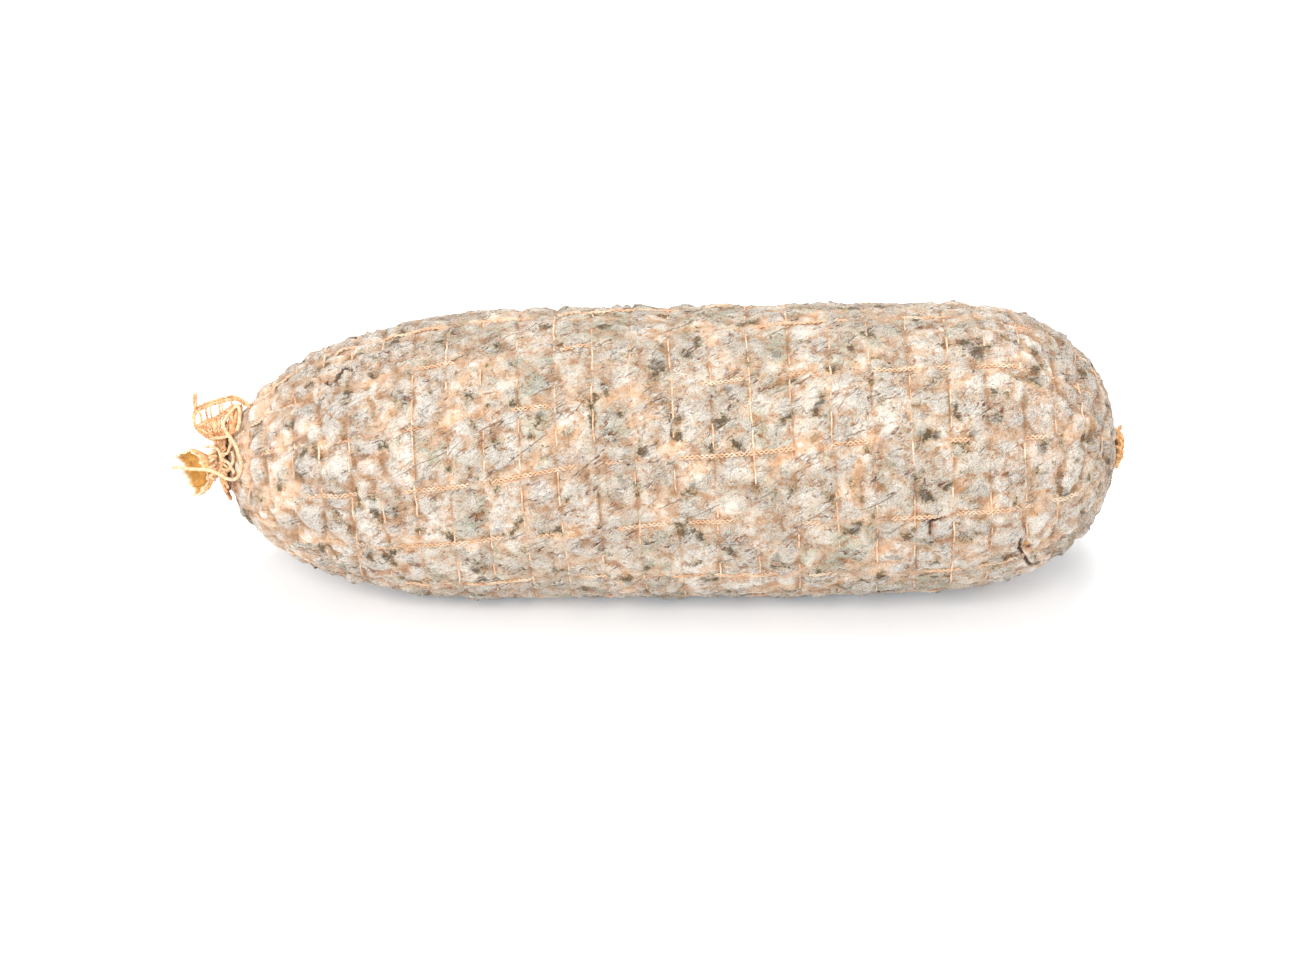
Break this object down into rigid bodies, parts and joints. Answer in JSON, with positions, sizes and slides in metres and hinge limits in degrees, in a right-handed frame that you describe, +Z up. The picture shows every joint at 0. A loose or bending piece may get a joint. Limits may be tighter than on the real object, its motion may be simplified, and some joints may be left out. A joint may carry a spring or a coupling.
{
  "type": "bresaola",
  "caption": "Whole air-dried beef in a white-moulded casing and a tight string net, tied at one tapered end and knotted at the blunt end; it lies on its side.",
  "frame": {"origin": "under the middle of its overall length and width, on the surface it lies on", "axes": "+X along its length, from the tied end to the blunt end; +Z up; the shown side faces -Y"},
  "size_m": [0.3417, 0.1065, 0.1052],
  "materials": {
    "cured_meat": "matte, dusted with pale mould",
    "net": "matte twisted string",
    "tie_string": "matte twisted string",
    "end_knot": "matte twisted string"
  },
  "bodies": {
    "root": {"cured_meat": "cured_meat", "net": "net", "tie_string": "tie_string", "end_knot": "end_knot"}
  },
  "joints": []
}
